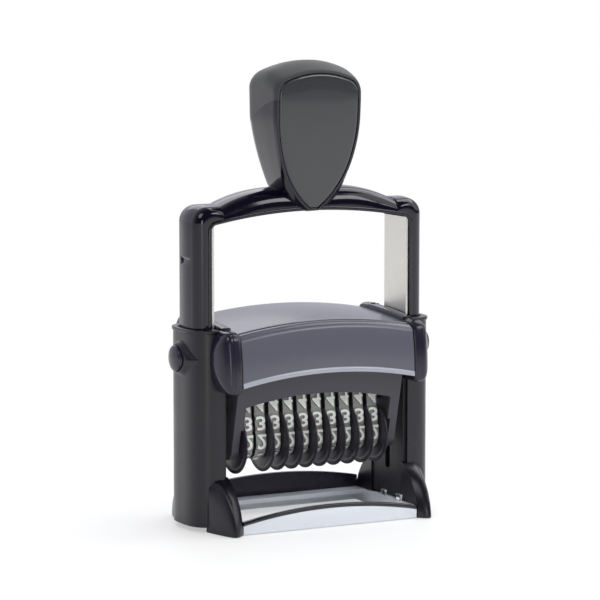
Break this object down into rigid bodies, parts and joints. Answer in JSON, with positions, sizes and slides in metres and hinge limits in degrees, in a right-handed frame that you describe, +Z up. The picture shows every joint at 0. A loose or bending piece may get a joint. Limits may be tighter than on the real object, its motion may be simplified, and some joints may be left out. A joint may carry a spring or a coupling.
{
  "type": "self-inking numbering stamp",
  "caption": "Self-inking numbering stamp: an arched handle slides down, turning the band unit from its ink pad over to print through the open base.",
  "frame": {"origin": "middle of the footprint on the resting plane", "axes": "+X along the row of number bands, towards the right as seen from the front; the front faces -Y; +Z is up"},
  "size_m": [0.1002, 0.05, 0.16],
  "materials": {
    "satin_black": "moulded, fine satin grain",
    "inner_black": "moulded, plain",
    "cheek_black": "moulded, semi-gloss",
    "cover_grey": "moulded, polished",
    "clear_plastic": "clear moulded plastic, polished",
    "gloss_black": "moulded, high gloss",
    "soft_cap": "soft-touch, matte",
    "plate_grey": "moulded, silk gloss",
    "frame_grey": "moulded, satin",
    "steel": "plated",
    "spring_steel": "drawn wire",
    "disc_plastic": "moulded, knurled rim",
    "band_rubber": "moulded rubber",
    "pad_felt": "inked felt"
  },
  "bodies": {
    "base": {"left_column": "satin_black", "right_column": "satin_black", "left_guide_plate": "inner_black", "right_guide_plate": "inner_black", "left_cheek": "cheek_black", "right_cheek": "cheek_black", "left_return_spring": "spring_steel", "right_return_spring": "spring_steel", "left_button_spring": "spring_steel", "right_button_spring": "spring_steel", "rear_wall": "satin_black", "positioning_window": "clear_plastic", "top_cover": "cover_grey"},
    "handle": {"bow": "gloss_black", "grip_body": "gloss_black", "grip_cap": "soft_cap", "face_plate": "plate_grey", "left_steel_strap": "steel", "right_steel_strap": "steel"},
    "number_unit": {"unit_frame": "frame_grey", "platen": "inner_black", "wheel_axle": "steel", "pivot_pins": "steel", "cam_pins": "steel", "number_band_01": "band_rubber", "number_band_02": "band_rubber", "number_band_03": "band_rubber", "number_band_04": "band_rubber", "number_band_05": "band_rubber", "number_band_06": "band_rubber", "number_band_07": "band_rubber", "number_band_08": "band_rubber", "number_band_09": "band_rubber", "number_band_10": "band_rubber"},
    "ink_cartridge": {"cartridge_front": "cover_grey", "cartridge_tray": "cover_grey", "ink_pad": "pad_felt"},
    "left_button": {"left_release_button": "gloss_black"},
    "right_button": {"right_release_button": "gloss_black"},
    "wheel_01": {"number_wheel_01": "disc_plastic"},
    "wheel_02": {"number_wheel_02": "disc_plastic"},
    "wheel_03": {"number_wheel_03": "disc_plastic"},
    "wheel_04": {"number_wheel_04": "disc_plastic"},
    "wheel_05": {"number_wheel_05": "disc_plastic"},
    "wheel_06": {"number_wheel_06": "disc_plastic"},
    "wheel_07": {"number_wheel_07": "disc_plastic"},
    "wheel_08": {"number_wheel_08": "disc_plastic"},
    "wheel_09": {"number_wheel_09": "disc_plastic"},
    "wheel_10": {"number_wheel_10": "disc_plastic"}
  },
  "joints": [
    {"name": "handle_slide", "type": "slide", "parent": "base", "child": "handle", "axis": [0, 0, -1], "range_m": [0, 0.03], "stiffness_N_per_m": 500, "springref_m": -0.03, "deforming": ["left_return_spring", "right_return_spring"]},
    {"name": "unit_turn", "type": "hinge", "parent": "handle", "child": "number_unit", "pos_m": [0, 0, 0.046], "axis": [1, 0, 0], "range_deg": [0, 180]},
    {"name": "cartridge_slide", "type": "slide", "parent": "base", "child": "ink_cartridge", "axis": [0, -1, 0], "range_m": [0, 0.045]},
    {"name": "left_button_press", "type": "slide", "parent": "base", "child": "left_button", "axis": [1, 0, 0], "range_m": [0, 0.0014], "stiffness_N_per_m": 500, "springref_m": -0.002, "deforming": ["left_button_spring"]},
    {"name": "right_button_press", "type": "slide", "parent": "base", "child": "right_button", "axis": [-1, 0, 0], "range_m": [0, 0.0014], "stiffness_N_per_m": 500, "springref_m": -0.002, "deforming": ["right_button_spring"]},
    {"name": "wheel_01_turn", "type": "hinge", "parent": "number_unit", "child": "wheel_01", "pos_m": [0, -0.0025, 0.0285], "axis": [1, 0, 0], "continuous": true},
    {"name": "wheel_02_turn", "type": "hinge", "parent": "number_unit", "child": "wheel_02", "pos_m": [0, -0.0025, 0.0285], "axis": [1, 0, 0], "continuous": true},
    {"name": "wheel_03_turn", "type": "hinge", "parent": "number_unit", "child": "wheel_03", "pos_m": [0, -0.0025, 0.0285], "axis": [1, 0, 0], "continuous": true},
    {"name": "wheel_04_turn", "type": "hinge", "parent": "number_unit", "child": "wheel_04", "pos_m": [0, -0.0025, 0.0285], "axis": [1, 0, 0], "continuous": true},
    {"name": "wheel_05_turn", "type": "hinge", "parent": "number_unit", "child": "wheel_05", "pos_m": [0, -0.0025, 0.0285], "axis": [1, 0, 0], "continuous": true},
    {"name": "wheel_06_turn", "type": "hinge", "parent": "number_unit", "child": "wheel_06", "pos_m": [0, -0.0025, 0.0285], "axis": [1, 0, 0], "continuous": true},
    {"name": "wheel_07_turn", "type": "hinge", "parent": "number_unit", "child": "wheel_07", "pos_m": [0, -0.0025, 0.0285], "axis": [1, 0, 0], "continuous": true},
    {"name": "wheel_08_turn", "type": "hinge", "parent": "number_unit", "child": "wheel_08", "pos_m": [0, -0.0025, 0.0285], "axis": [1, 0, 0], "continuous": true},
    {"name": "wheel_09_turn", "type": "hinge", "parent": "number_unit", "child": "wheel_09", "pos_m": [0, -0.0025, 0.0285], "axis": [1, 0, 0], "continuous": true},
    {"name": "wheel_10_turn", "type": "hinge", "parent": "number_unit", "child": "wheel_10", "pos_m": [0, -0.0025, 0.0285], "axis": [1, 0, 0], "continuous": true}
  ],
  "couplings": [
    {"joint": "unit_turn", "follows": "handle_slide", "rad_per_m": 104.72}
  ]
}
